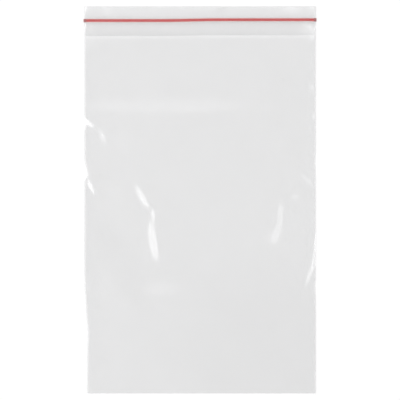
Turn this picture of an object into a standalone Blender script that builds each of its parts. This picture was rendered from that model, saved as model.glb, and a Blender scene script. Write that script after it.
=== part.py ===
"""Press-to-close zipper bag of clear film, empty and zipped shut, lying on its back.

The bag is four pieces. One sheet of film is folded at the bottom and welded down both sides. Two carrier
strips are laminated inside its mouth. The lower strip carries a hooked channel, and the upper one carries a
red rib that snaps into that channel.

Every piece is first built flat, with its layers parallel and the mouth as thick as the closed zipper. One
function, lie(), then moves all of them together to the shape that the bag takes on a table: trapped air,
creases, crushed zipper ends, lifted edges. It keeps the film's thickness and moves every piece alike, so
pieces that are clear of each other flat stay clear.

Frame: X across the bag, +Y towards the mouth, +Z up from the table. The origin is at the centre of the
bag's underside. Lengths are in metres.
"""

import math

import bmesh
import bpy
from mathutils import Matrix, Vector

# Overall size
BAG_WIDTH = 0.150
BAG_LENGTH = 0.250
FILM = 0.00006

# Seams
SIDE_WELD = 0.0010
PLY_GAP = 0.0001
CUTTER_OVERRUN = 0.002

# Closure, measured down from the lip edge
LIP_HEIGHT = 0.00865
STRIP_DEPTH = 0.0186
STRIP_WEB = 0.00012
SEAT_CLEARANCE = 0.00006
END_CLEARANCE = 0.0003

# Zipper profile
SHOULDER_RISE = 0.00015
SHOULDER_TOP_WIDTH = 0.0032
SHOULDER_FOOT_WIDTH = 0.0054
RIB_FOOT_WIDTH = 0.0022
RIB_FOOT_THICKNESS = 0.00015
STEM_WIDTH = 0.00036
HEAD_WIDTH = 0.00095
HEAD_HEIGHT = 0.00053
HEAD_TIP_WIDTH = 0.00024
LEG_THICKNESS = 0.00036
HOOK_HEIGHT = 0.00030
SNAP_CLEARANCE = 0.00006
RIB_OVERHANG = 0.0002

# How the bag lies
CRUSH_RUN = 0.0040
CRUSH_SHARE = 0.34
LIP_OPENING = 0.0006
LIP_LIFT = 0.0007
CORNER_LIFT = 0.0012
CORNER_RUN = 0.030
SIDE_LIFT = 0.0004
SIDE_LIFT_RUN = 0.010
PUFF_HEIGHT = 0.0013
PUFF_SIDE_RUN = 0.060
PUFF_BOTTOM_RUN = 0.090
ZIP_STAND_OFF = 0.016
SIDE_DRAW = 0.0019
SIDE_DRAW_START = 0.170
SIDE_DRAW_RUN = 0.045
ZIP_DRIFT = 0.00055
ZIP_DRIFT_START = 0.013
ZIP_DRIFT_RUN = 0.039

# Grid that the bend needs. Body rows go from the bottom fold up: the Y that they reach, and their spacing.
BODY_COLUMN = 0.00875
BODY_ROWS = (
    (-0.090, 0.0120),
    (-0.042, 0.0080),
    (0.012, 0.0108),
    (0.021, 0.0030),
    (0.045, 0.0080),
    (0.056, 0.0037),
)
UPPER_ROW = 0.0105
CRUSH_STEPS = 3
CLOSURE_ROW = 0.0022

# Finer grid of the creased part of the front ply, between these Y
CREASED_SPAN = (-0.066, 0.021)
CREASED_COLUMNS = ((-0.04375, -0.0175), (0.035, 0.0525), (0.06125, 0.070))
CREASED_COLUMN = 0.0030
CREASED_ROWS = (-0.042, 0.012)
CREASED_ROW = 0.0036

# Mesh limits: how near two points are one, how upright a level face's normal is, what angle stays sharp
SAME_PLACE = 1e-7
LEVEL_NORMAL = 0.9
SHARP_ANGLE_DEG = 40.0

# Levels of the flat stack, from the table up
PLY_STACK = FILM + SEAT_CLEARANCE + STRIP_WEB
HEAD_TIP_LEVEL = SHOULDER_RISE + SNAP_CLEARANCE
HOOK_UNDERSIDE = HEAD_TIP_LEVEL + HEAD_HEIGHT + SNAP_CLEARANCE
LEG_TOP = HOOK_UNDERSIDE + HOOK_HEIGHT
RIB_FOOT_UNDERSIDE = LEG_TOP + SNAP_CLEARANCE
RIB_FOOT_LEVEL = RIB_FOOT_UNDERSIDE + RIB_FOOT_THICKNESS
PROFILE_HEIGHT = RIB_FOOT_LEVEL + SEAT_CLEARANCE + SHOULDER_RISE
STACK_HEIGHT = PROFILE_HEIGHT + 2 * PLY_STACK

# Places
LIP_EDGE_Y = BAG_LENGTH / 2
ZIP_Y = LIP_EDGE_Y - LIP_HEIGHT
STRIP_LOW_Y = LIP_EDGE_Y - STRIP_DEPTH
INNER_HALF_WIDTH = BAG_WIDTH / 2 - SIDE_WELD
STRIP_HALF_LENGTH = INNER_HALF_WIDTH - END_CLEARANCE
EDGE_GAP = PLY_GAP - 2 * (STRIP_WEB + SEAT_CLEARANCE)

# Ridges, as start, end, height and half width. Creases rise in the front ply alone, folds in the whole bag.
CREASES = (
    ((-0.0396, 0.0100), (-0.0296, -0.0062), 0.00060, 0.0026),
    ((-0.0294, -0.0125), (-0.0244, -0.0412), 0.00082, 0.0038),
    ((0.0520, -0.0010), (0.0492, -0.0180), 0.00064, 0.0030),
    ((0.0492, -0.0130), (0.0405, -0.0280), 0.00082, 0.0038),
    ((0.0722, -0.0180), (0.0664, -0.0600), 0.00066, 0.0026),
    ((-0.0660, 0.0620), (0.0450, 0.0590), 0.00022, 0.0065),
)
FOLDS = (
    ((-0.0768, 0.0558), (-0.0655, 0.0450), 0.00054, 0.0022),
    ((-0.0718, 0.0155), (-0.0650, 0.0020), 0.00062, 0.0023),
)
RIDGE_END_SHARE = 0.2

# Stretches of side weld that are drawn in: side, Y, fade above, fade below, depth
EDGE_NICKS = (
    (-1, 0.0485, 0.0040, 0.0030, 0.0007),
    (-1, 0.0158, 0.0070, 0.0022, 0.0024),
    (-1, -0.0850, 0.0060, 0.0080, 0.0005),
    (1, 0.0240, 0.0050, 0.0050, 0.0004),
    (1, -0.0560, 0.0050, 0.0050, 0.0004),
)
NICK_REACH = 0.030


def smooth(value):
    """0 below 0, 1 above 1, and an S-curve between them."""
    t = min(max(value, 0.0), 1.0)
    return t * t * (3.0 - 2.0 * t)


def mix(a, b, share):
    return a + (b - a) * share


def ridge_height(ridges, x, y):
    """Height of these soft ridges at a point: round across, and lower towards both ends."""
    height = 0.0
    for start, end, rise, half_width in ridges:
        a, b, p = Vector(start), Vector(end), Vector((x, y))
        along = min(max((p - a).dot(b - a) / (b - a).length_squared, 0.0), 1.0)
        away = (p - a.lerp(b, along)).length
        fade = mix(RIDGE_END_SHARE, 1.0, math.sin(math.pi * along))
        height += rise * fade * math.exp(-((away / half_width) ** 2))
    return height


def trapped_air(x, y):
    """Gap that the air in the bag opens between front and back, away from the zipper."""
    from_side = BAG_WIDTH / 2 - abs(x)
    from_bottom = y + BAG_LENGTH / 2
    room = smooth(from_side / PUFF_SIDE_RUN) * smooth(from_bottom / PUFF_BOTTOM_RUN)
    return PUFF_HEIGHT * room


def zipper_stand_off(y):
    """Share of the zipper's height to which it holds the two sides apart, by distance from it."""
    plateau = SHOULDER_FOOT_WIDTH / 2
    beyond = max(abs(y - ZIP_Y) - plateau, 0.0)
    if y > ZIP_Y:
        return mix(1.0, LIP_OPENING / PROFILE_HEIGHT, smooth(beyond / (LIP_HEIGHT - plateau)))
    return 1.0 - smooth(beyond / ZIP_STAND_OFF)


def inner_gap(x, y):
    """Gap between the two strips' webs, or where they would be, away from the side welds."""
    held = zipper_stand_off(y)
    opened = smooth((ZIP_Y - SHOULDER_FOOT_WIDTH / 2 - y) / ZIP_STAND_OFF)
    body = EDGE_GAP + trapped_air(x, y) + ridge_height(CREASES, x, y)
    return held * PROFILE_HEIGHT + opened * body


def edge_gap(y):
    """The same gap at the side welds, where the zipper is crushed and the film is welded shut."""
    beyond = max(abs(y - ZIP_Y) - SHOULDER_FOOT_WIDTH / 2, 0.0)
    at_strip = mix(CRUSH_SHARE * PROFILE_HEIGHT, SEAT_CLEARANCE, smooth(beyond / CLOSURE_ROW))
    below_strip = smooth((STRIP_LOW_Y - y) / CLOSURE_ROW)
    return mix(at_strip, EDGE_GAP, below_strip)


def gap(x, y):
    """Gap between the two strips' webs at any point of the bag."""
    inward = smooth((INNER_HALF_WIDTH - abs(x)) / CRUSH_RUN)
    return mix(edge_gap(y), inner_gap(x, y), inward)


def lift(x, y):
    """Height of the bag's underside over the table: the welded edges and the lip curl up a little."""
    side = SIDE_LIFT * smooth(1.0 - (BAG_WIDTH / 2 - abs(x)) / SIDE_LIFT_RUN)
    lip = smooth((y - ZIP_Y - SHOULDER_FOOT_WIDTH / 2) / (LIP_HEIGHT - SHOULDER_FOOT_WIDTH / 2))
    corner = smooth(1.0 - (BAG_WIDTH / 2 - x) / CORNER_RUN)
    return side + lip * (LIP_LIFT + CORNER_LIFT * corner) + ridge_height(FOLDS, x, y)


def nick_shift(x, y):
    """How far the nicks in the side welds move a point along X."""
    shift = 0.0
    for side, middle, above, below, depth in EDGE_NICKS:
        run = (y - middle) / (above if y > middle else below)
        near = smooth(1.0 - (BAG_WIDTH / 2 - side * x) / NICK_REACH)
        shift -= side * depth * near * math.exp(-(run ** 2))
    return shift


def lie(point):
    """Moves a point of the flat bag to where it is when the bag lies on the table."""
    x, y, z = point
    opening = gap(x, y)
    if z <= PLY_STACK:
        height = z
    elif z >= STACK_HEIGHT - PLY_STACK:
        height = z - PROFILE_HEIGHT + opening
    else:
        height = PLY_STACK + (z - PLY_STACK) * opening / PROFILE_HEIGHT
    from_lip = LIP_EDGE_Y - y
    drawn = SIDE_DRAW * smooth((from_lip - SIDE_DRAW_START) / SIDE_DRAW_RUN)
    towards_left = 0.5 - x / BAG_WIDTH
    near_zip = smooth(from_lip / LIP_HEIGHT) * smooth(1.0 - (from_lip - LIP_HEIGHT) / (2 * STRIP_DEPTH))
    drift = ZIP_DRIFT * near_zip * smooth((ZIP_DRIFT_START - x) / ZIP_DRIFT_RUN)
    return Vector((x + drawn * towards_left + nick_shift(x, y), y - drift, height + lift(x, y)))


def spread(start, end, cell):
    """Evenly spaced stations from start to end, no further apart than cell."""
    steps = max(1, math.ceil((end - start) / cell))
    return [mix(start, end, i / steps) for i in range(steps + 1)]


def stations_across():
    """X stations: fine where the zipper ends are crushed, coarse over the body."""
    crush_inner = INNER_HALF_WIDTH - CRUSH_RUN
    half = spread(0.0, crush_inner, BODY_COLUMN)
    half += spread(crush_inner, INNER_HALF_WIDTH, CRUSH_RUN / CRUSH_STEPS)
    half.append(STRIP_HALF_LENGTH)
    return sorted({round(side * x, 7) for x in half for side in (-1, 1)})


def stations_along():
    """Y stations: fine through the closure and beside the nicks, coarse over the rest of the body."""
    plateau = SHOULDER_FOOT_WIDTH / 2
    body_top = ZIP_Y - plateau - ZIP_STAND_OFF
    found = [FILM - BAG_LENGTH / 2]
    for end, cell in (*BODY_ROWS, (body_top, UPPER_ROW)):
        found += spread(found[-1], end, cell)
    found += spread(body_top, STRIP_LOW_Y, 2 * CLOSURE_ROW)
    found += spread(STRIP_LOW_Y, ZIP_Y - plateau, CLOSURE_ROW)
    found += spread(ZIP_Y + plateau, LIP_EDGE_Y, CLOSURE_ROW)
    found.append(STRIP_LOW_Y - CLOSURE_ROW)
    return sorted({round(y, 7) for y in found})


def front_planes():
    """Planes that only the front ply is sliced by, where its creases need them."""
    columns = [x for start, end in CREASED_COLUMNS for x in spread(start, end, CREASED_COLUMN)]
    rows = spread(*CREASED_ROWS, CREASED_ROW)
    return slicing_planes(columns, rows)


def slicing_planes(columns, rows):
    """Upright planes at these X and at these Y, as a place and a normal each."""
    return [((x, 0, 0), (1, 0, 0)) for x in columns] + [((0, y, 0), (0, 1, 0)) for y in rows]


def clear_scene():
    for obj in list(bpy.data.objects):
        bpy.data.objects.remove(obj, do_unlink=True)


def collection(name):
    made = bpy.data.collections.new(name)
    bpy.context.scene.collection.children.link(made)
    return made


def move_to(obj, group):
    for old in list(obj.users_collection):
        old.objects.unlink(obj)
    group.objects.link(obj)


def plastic(name, colour, roughness, alpha):
    """A dielectric plastic of that linear colour."""
    made = bpy.data.materials.new(name)
    made.use_nodes = True
    shader = made.node_tree.nodes["Principled BSDF"]
    shader.inputs["Base Color"].default_value = (*colour, 1.0)
    shader.inputs["Roughness"].default_value = roughness
    shader.inputs["Metallic"].default_value = 0.0
    shader.inputs["Alpha"].default_value = alpha
    made.diffuse_color = (*colour, alpha)
    return made


def block(name, low, high, group):
    """A box between two corners."""
    low, high = Vector(low), Vector(high)
    bpy.ops.mesh.primitive_cube_add(size=1.0)
    obj = bpy.context.object
    obj.name = name
    size = high - low
    obj.data.transform(Matrix.Translation((low + high) / 2) @ Matrix.Diagonal((*size, 1.0)))
    move_to(obj, group)
    return obj


def cut(target, cutter):
    """Takes the cutter's box out of the target, and hides the cutter."""
    modifier = target.modifiers.new(f"cut_{cutter.name}", "BOOLEAN")
    modifier.operation = "DIFFERENCE"
    modifier.solver = "EXACT"
    modifier.object = cutter
    cutter.hide_render = True
    cutter.display_type = "WIRE"


def extruded(name, outline, start, end, group):
    """A solid with this outline in Y and Z, running along X from start to end."""
    flat = bpy.data.curves.new(name, "CURVE")
    flat.dimensions = "2D"
    flat.fill_mode = "BOTH"
    flat.extrude = (end - start) / 2
    line = flat.splines.new("POLY")
    line.points.add(len(outline) - 1)
    for point, (y, z) in zip(line.points, outline):
        point.co = (y, z, 0.0, 1.0)
    line.use_cyclic_u = True
    obj = bpy.data.objects.new(name, flat)
    across, up, along = Vector((0, 1, 0)), Vector((0, 0, 1)), Vector((1, 0, 0))
    turn = Matrix((across, up, along)).transposed().to_4x4()
    obj.matrix_world = Matrix.Translation(((start + end) / 2, 0, 0)) @ turn
    group.objects.link(obj)
    return obj


def made_mesh(obj, group):
    """Replaces an object by the plain mesh that its curve or modifiers give, with its place in its mesh."""
    bpy.context.view_layer.update()
    graph = bpy.context.evaluated_depsgraph_get()
    name, world = obj.name, obj.matrix_world.copy()
    mesh = bpy.data.meshes.new_from_object(obj.evaluated_get(graph))
    bpy.data.objects.remove(obj, do_unlink=True)
    mesh.transform(world)
    made = bpy.data.objects.new(name, mesh)
    mesh.name = name
    group.objects.link(made)
    return made


def sliced(shape, faces, planes):
    """Cuts these faces of a flat mesh along the planes."""
    for place, normal in planes:
        edges = {edge for face in faces for edge in face.edges}
        verts = {vert for edge in edges for vert in edge.verts}
        cut_up = bmesh.ops.bisect_plane(
            shape, geom=[*verts, *edges, *faces], dist=SAME_PLACE, plane_co=place, plane_no=normal
        )
        faces = [part for part in cut_up["geom"] if isinstance(part, bmesh.types.BMFace)]


def creased_faces(shape):
    """Faces of the flat front ply that the creases cross."""
    low, high = CREASED_SPAN
    return [
        face
        for face in shape.faces
        if min(vert.co.z for vert in face.verts) > STACK_HEIGHT / 2
        and low < face.calc_center_median().y < high
    ]


def is_level(face):
    return abs(face.normal.z) > LEVEL_NORMAL


def bent_alike(shape):
    """Makes triangles of the level faces of a flat mesh by one rule, so that its layers bend alike.

    A face that borders on a finer grid gets a point in its middle. A face of four corners is split between
    the two opposite ones that differ less in height once it is laid down.
    """
    shape.normal_update()
    bordering = [face for face in shape.faces if len(face.verts) > 4 and is_level(face)]
    bmesh.ops.poke(shape, faces=bordering)
    for face in [face for face in shape.faces if len(face.verts) == 4 and is_level(face)]:
        corners = list(face.verts)
        first = min(range(4), key=lambda i: corners[i].co.x + corners[i].co.y)
        ring = corners[first:] + corners[:first]
        heights = [gap(vert.co.x, vert.co.y) + lift(vert.co.x, vert.co.y) for vert in ring]
        start = 1 if abs(heights[1] - heights[3]) < abs(heights[0] - heights[2]) else 0
        bmesh.utils.face_split(face, ring[start], ring[start + 2])


def laid_down(obj, creased=False):
    """Slices a flat mesh along the grid and moves it to the shape that the bag takes on the table."""
    shape = bmesh.new()
    shape.from_mesh(obj.data)
    bmesh.ops.remove_doubles(shape, verts=shape.verts, dist=SAME_PLACE)
    sliced(shape, list(shape.faces), slicing_planes(stations_across(), stations_along()))
    if creased:
        sliced(shape, creased_faces(shape), front_planes())
    bent_alike(shape)
    for vert in shape.verts:
        vert.co = lie(vert.co)
    bmesh.ops.recalc_face_normals(shape, faces=shape.faces)
    shape.to_mesh(obj.data)
    shape.free()
    obj.data.shade_smooth()
    obj.data.set_sharp_from_angle(angle=math.radians(SHARP_ANGLE_DEG))


def bag_film(group, cutters):
    """The folded and welded sheet: a flat envelope, less the pocket, less a slot for each zipper end."""
    half = BAG_WIDTH / 2
    film = block("bag_film", (-half, -LIP_EDGE_Y, 0), (half, LIP_EDGE_Y, STACK_HEIGHT), group)
    pocket = block(
        "pocket",
        (-INNER_HALF_WIDTH, FILM - BAG_LENGTH / 2, FILM),
        (INNER_HALF_WIDTH, LIP_EDGE_Y + CUTTER_OVERRUN, STACK_HEIGHT - FILM),
        cutters,
    )
    slot_half = RIB_FOOT_WIDTH / 2 + SNAP_CLEARANCE
    slot_low = PLY_STACK + HEAD_TIP_LEVEL - SNAP_CLEARANCE
    slot_high = PLY_STACK + RIB_FOOT_LEVEL + SEAT_CLEARANCE
    slot = block(
        "zip_end_slot",
        (-half - CUTTER_OVERRUN, ZIP_Y - slot_half, slot_low),
        (half + CUTTER_OVERRUN, ZIP_Y + slot_half, slot_high),
        cutters,
    )
    cut(film, pocket)
    cut(film, slot)
    return made_mesh(film, group)


def web_with_shoulder(facing_up):
    """Outline of a carrier web with its thicker shoulder, as distance from the zip and height."""
    low, high = STRIP_LOW_Y - ZIP_Y, LIP_EDGE_Y - ZIP_Y
    foot, top = SHOULDER_FOOT_WIDTH / 2, SHOULDER_TOP_WIDTH / 2
    shoulder = [(foot, 0.0), (top, SHOULDER_RISE), (-top, SHOULDER_RISE), (-foot, 0.0)]
    outline = [(low, -STRIP_WEB), (high, -STRIP_WEB), (high, 0.0), *shoulder, (low, 0.0)]
    return outline if facing_up else [(y, -z) for y, z in outline]


def channel_legs():
    """Outline of the two hooked legs, from the shoulder's right edge round to its left one."""
    inner = HEAD_WIDTH / 2 + SNAP_CLEARANCE
    outer = inner + LEG_THICKNESS
    throat = STEM_WIDTH / 2 + SNAP_CLEARANCE
    hook_bevel = HOOK_HEIGHT / 3
    right = [
        (outer, SHOULDER_RISE),
        (outer, LEG_TOP - hook_bevel),
        (outer - hook_bevel, LEG_TOP),
        (throat + hook_bevel, LEG_TOP),
        (throat, LEG_TOP - hook_bevel),
        (throat, HOOK_UNDERSIDE),
        (inner, HOOK_UNDERSIDE),
        (inner, SHOULDER_RISE),
    ]
    return right + [(-y, z) for y, z in reversed(right)]


def channel_strip(group):
    """The lower strip: a web laminated to the back of the film, with the hooked channel on it."""
    web = web_with_shoulder(facing_up=True)
    at = web.index((SHOULDER_TOP_WIDTH / 2, SHOULDER_RISE)) + 1
    outline = web[:at] + channel_legs() + web[at:]
    placed = [(ZIP_Y + y, PLY_STACK + z) for y, z in outline]
    strip = extruded("channel_strip", placed, -STRIP_HALF_LENGTH, STRIP_HALF_LENGTH, group)
    return made_mesh(strip, group)


def rib_strip(group):
    """The upper strip: a web laminated to the front of the film, which carries the rib."""
    outline = web_with_shoulder(facing_up=False)
    placed = [(ZIP_Y + y, STACK_HEIGHT - PLY_STACK + z) for y, z in outline]
    strip = extruded("rib_strip", placed, -STRIP_HALF_LENGTH, STRIP_HALF_LENGTH, group)
    return made_mesh(strip, group)


def red_rib(group):
    """The coloured rib: a flat foot, a thin stem and an arrow head that the hooks hold."""
    foot, stem = RIB_FOOT_WIDTH / 2, STEM_WIDTH / 2
    head, tip = HEAD_WIDTH / 2, HEAD_TIP_WIDTH / 2
    barb = HEAD_TIP_LEVEL + HEAD_HEIGHT
    barb_edge = barb - HEAD_HEIGHT / 5
    right = [
        (foot, RIB_FOOT_LEVEL),
        (foot, RIB_FOOT_UNDERSIDE),
        (stem, RIB_FOOT_UNDERSIDE),
        (stem, barb),
        (head, barb),
        (head, barb_edge),
        (tip, HEAD_TIP_LEVEL),
    ]
    outline = right + [(-y, z) for y, z in reversed(right)]
    placed = [(ZIP_Y + y, PLY_STACK + z) for y, z in outline]
    reach = BAG_WIDTH / 2 + RIB_OVERHANG
    return made_mesh(extruded("red_rib", placed, -reach, reach, group), group)


def main():
    clear_scene()
    bag = collection("zipper_bag")
    cutters = collection("cutters")
    clear_film = plastic("clear_polyethylene_film", (0.80, 0.81, 0.82), 0.22, 0.35)
    clear_strip = plastic("clear_polyethylene_strip", (0.78, 0.79, 0.80), 0.28, 0.45)
    red_strip = plastic("red_polyethylene", (0.66, 0.030, 0.022), 0.35, 1.0)
    pieces = (
        (bag_film(bag, cutters), clear_film),
        (channel_strip(bag), clear_strip),
        (rib_strip(bag), clear_strip),
        (red_rib(bag), red_strip),
    )
    for piece, finish in pieces:
        laid_down(piece, creased=piece.name == "bag_film")
        piece.data.materials.clear()
        piece.data.materials.append(finish)


main()
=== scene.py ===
"""The looks of a press-to-close zipper bag of clear film, lying empty and zipped shut on a pale table.

The film, the two carrier strips and the red rib are modelled flat, as they leave the bag machine: the film
is an open pouch that gets its thickness from Solidify, and the zipper's pieces are extruded profiles. One
shape, LyingShape, then moves every piece to where it is when the bag lies on a table, creases included, so
that pieces which are clear of each other flat stay clear.

Frame: X across the bag, +Y towards the zipper, +Z up from the table. Lengths are in metres.
"""

from __future__ import annotations

import logging
import math
from dataclasses import dataclass, field
from enum import Enum
from typing import Any

import bpy
import numpy as np
from mathutils import Matrix, Vector

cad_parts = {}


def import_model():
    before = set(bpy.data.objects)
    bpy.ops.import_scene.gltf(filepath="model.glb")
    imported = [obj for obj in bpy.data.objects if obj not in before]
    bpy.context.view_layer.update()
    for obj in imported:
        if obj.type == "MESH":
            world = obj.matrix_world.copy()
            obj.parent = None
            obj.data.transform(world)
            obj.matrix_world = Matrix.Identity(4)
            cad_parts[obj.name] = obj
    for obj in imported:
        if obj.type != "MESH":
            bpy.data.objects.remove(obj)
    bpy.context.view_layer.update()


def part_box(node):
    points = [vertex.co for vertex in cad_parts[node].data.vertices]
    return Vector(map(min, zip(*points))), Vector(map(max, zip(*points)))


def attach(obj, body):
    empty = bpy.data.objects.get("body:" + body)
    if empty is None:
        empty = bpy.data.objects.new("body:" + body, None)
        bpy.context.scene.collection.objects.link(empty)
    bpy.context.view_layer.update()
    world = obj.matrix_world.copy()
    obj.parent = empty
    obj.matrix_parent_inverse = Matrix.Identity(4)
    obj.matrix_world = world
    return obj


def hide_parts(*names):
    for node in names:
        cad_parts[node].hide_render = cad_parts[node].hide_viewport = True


log = logging.getLogger("zipper_bag")

MM = 0.001
FLAT_MAP = "laid_flat"
POLYETHYLENE_IOR = 1.51

# Most of a noise texture's values are in this span.
NOISE_SPAN = {"From Min": 0.3, "From Max": 0.7}

# A faint mark has its full strength within this share of its size.
MARK_CORE = 0.4

Point = tuple[float, float]
Feeds = dict[str | int, Any]


class Ray(Enum):
    """The kinds of ray that see the white studio itself, by their name on the Light Path node."""

    CAMERA = "Is Camera Ray"
    GLOSSY = "Is Glossy Ray"
    TRANSMISSION = "Is Transmission Ray"


class Side(Enum):
    """Which way a carrier strip's profile faces: up from the back ply, or down from the front ply."""

    UP = 1
    DOWN = -1


def linear(hex_colour: str) -> tuple[float, float, float, float]:
    """Turns an sRGB hex colour to the linear colour that shaders take.

    Args:
        hex_colour: six hex digits, such as "D8281C".

    Returns:
        Red, green, blue and an alpha of 1.
    """
    channels = [int(hex_colour[i:i + 2], 16) / 255 for i in (0, 2, 4)]
    turned = [c / 12.92 if c <= 0.04045 else ((c + 0.055) / 1.055) ** 2.4 for c in channels]
    return (*turned, 1.0)


def add_node(tree: bpy.types.NodeTree, kind: str, feeds: Feeds, **settings: Any) -> bpy.types.Node:
    """Adds a node with its settings, its values and its links.

    Args:
        tree: the node tree that it goes in.
        kind: the node's type name, such as "ShaderNodeMath".
        feeds: input socket name or index, to the value or the output socket that feeds it.
        settings: the node's own properties.

    Returns:
        The new node.
    """
    made = tree.nodes.new(kind)
    for name, value in settings.items():
        setattr(made, name, value)
    for socket, source in feeds.items():
        if isinstance(source, bpy.types.NodeSocket):
            tree.links.new(source, made.inputs[socket])
        else:
            made.inputs[socket].default_value = source
    return made


def new_tree(material: bpy.types.Material) -> bpy.types.NodeTree:
    """Empties a material's node tree.

    Args:
        material: a new material.

    Returns:
        Its empty node tree.
    """
    material.use_nodes = True
    material.node_tree.nodes.clear()
    return material.node_tree


def line_mask(tree: bpy.types.NodeTree, value: bpy.types.NodeSocket, line: float, zero_at: float,
              full_at: float, share: float = 1.0) -> bpy.types.NodeSocket:
    """Masks by the distance from a line, alike on both of its sides.

    Args:
        tree: the material's node tree.
        value: the coordinate across the line.
        line: where the line is on that coordinate.
        zero_at: distance at which the mask is 0.
        full_at: distance at which it is full.
        share: how strong the full mask is.

    Returns:
        The mask.
    """
    away = add_node(tree, "ShaderNodeMath", {0: value, 1: line}, operation="SUBTRACT")
    distance = add_node(tree, "ShaderNodeMath", {0: away.outputs[0]}, operation="ABSOLUTE")
    return add_node(tree, "ShaderNodeMapRange", {
        "Value": distance.outputs[0], "From Min": zero_at, "From Max": full_at, "To Max": share},
        interpolation_type="SMOOTHSTEP").outputs[0]


def smooth(value: np.ndarray | float) -> np.ndarray:
    """0 below 0, 1 above 1, and an S-curve between them."""
    t = np.clip(value, 0.0, 1.0)
    return t * t * (3.0 - 2.0 * t)


def mix(a: Any, b: Any, share: Any) -> Any:
    """The value that lies at this share of the way from a to b."""
    return a + (b - a) * share


@dataclass(frozen=True)
class BagSizes:
    """The bag's own sizes. Width and length come from the frame."""

    width: float
    length: float
    film: float = 0.06 * MM
    side_weld: float = 1.0 * MM
    ply_gap: float = 0.1 * MM
    lip_height: float = 8.65 * MM
    strip_depth: float = 18.6 * MM
    strip_web: float = 0.12 * MM
    seat_clearance: float = 0.06 * MM
    end_clearance: float = 0.3 * MM

    @classmethod
    def from_frame(cls) -> "BagSizes":
        """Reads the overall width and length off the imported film."""
        low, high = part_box("bag_film")
        return cls(width=high[0] - low[0], length=high[1] - low[1])

    @property
    def lip_edge(self) -> float:
        """Y of the lips' edge."""
        return self.length / 2

    @property
    def zip_line(self) -> float:
        """Y of the zipper's middle."""
        return self.lip_edge - self.lip_height

    @property
    def strip_low(self) -> float:
        """Y of the carrier strips' lower edge."""
        return self.lip_edge - self.strip_depth

    @property
    def inner_half(self) -> float:
        """Half the width between the side welds."""
        return self.width / 2 - self.side_weld

    @property
    def strip_half(self) -> float:
        """Half the carrier strips' length."""
        return self.inner_half - self.end_clearance

    @property
    def ply_stack(self) -> float:
        """Film, laminating gap and strip web together."""
        return self.film + self.seat_clearance + self.strip_web


@dataclass(frozen=True)
class ZipProfile:
    """The section of the closure. Heights are from the lower strip's web, widths are along Y."""

    shoulder_rise: float = 0.15 * MM
    shoulder_top: float = 3.2 * MM
    shoulder_foot: float = 5.4 * MM
    rib_foot_width: float = 2.2 * MM
    rib_foot_thickness: float = 0.15 * MM
    stem: float = 0.36 * MM
    head: float = 0.95 * MM
    head_height: float = 0.53 * MM
    head_tip: float = 0.24 * MM
    leg: float = 0.36 * MM
    hook: float = 0.30 * MM
    hook_bevel_share: float = 1 / 3
    barb_side_share: float = 1 / 5
    clearance: float = 0.06 * MM
    rib_overhang: float = 0.2 * MM

    @property
    def tip_level(self) -> float:
        """Height of the arrow head's tip."""
        return self.shoulder_rise + self.clearance

    @property
    def hook_underside(self) -> float:
        """Height of the hooks' lower face."""
        return self.tip_level + self.head_height + self.clearance

    @property
    def leg_top(self) -> float:
        """Height of the legs' top."""
        return self.hook_underside + self.hook

    @property
    def foot_underside(self) -> float:
        """Height of the rib foot's lower face."""
        return self.leg_top + self.clearance

    @property
    def foot_top(self) -> float:
        """Height of the rib foot's upper face."""
        return self.foot_underside + self.rib_foot_thickness

    @property
    def height(self) -> float:
        """Distance between the two strips' webs at the closed zipper."""
        return self.foot_top + self.clearance + self.shoulder_rise

    def shoulder_outline(self, low: float, high: float, web: float, side: Side) -> list[Point]:
        """Outline of a carrier web with its thicker shoulder.

        Args:
            low: distance from the zipper down to the web's lower edge, negative.
            high: distance from the zipper up to the web's upper edge.
            web: the web's thickness.
            side: which way the shoulder stands.

        Returns:
            Points of (distance from the zipper, height over the web), in order.
        """
        foot, top = self.shoulder_foot / 2, self.shoulder_top / 2
        outline = [
            (low, -web), (high, -web), (high, 0.0), (foot, 0.0),
            (top, self.shoulder_rise), (-top, self.shoulder_rise), (-foot, 0.0), (low, 0.0),
        ]
        return [(y, z * side.value) for y, z in outline]

    def leg_outline(self) -> list[Point]:
        """Outline of the two hooked legs, from the shoulder's upper edge round to its lower one.

        Returns:
            Points of (distance from the zipper, height over the web), in order.
        """
        inner = self.head / 2 + self.clearance
        outer = inner + self.leg
        throat = self.stem / 2 + self.clearance
        bevel = self.hook * self.hook_bevel_share
        half = [
            (outer, self.shoulder_rise), (outer, self.leg_top - bevel), (outer - bevel, self.leg_top),
            (throat + bevel, self.leg_top), (throat, self.leg_top - bevel), (throat, self.hook_underside),
            (inner, self.hook_underside), (inner, self.shoulder_rise),
        ]
        return half + [(-y, z) for y, z in reversed(half)]

    def rib_outline(self) -> list[Point]:
        """Outline of the coloured rib: foot, stem and arrow head.

        Returns:
            Points of (distance from the zipper, height over the web), in order.
        """
        barb = self.tip_level + self.head_height
        half = [
            (self.rib_foot_width / 2, self.foot_top), (self.rib_foot_width / 2, self.foot_underside),
            (self.stem / 2, self.foot_underside), (self.stem / 2, barb), (self.head / 2, barb),
            (self.head / 2, barb - self.head_height * self.barb_side_share),
            (self.head_tip / 2, self.tip_level),
        ]
        return half + [(-y, z) for y, z in reversed(half)]


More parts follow.
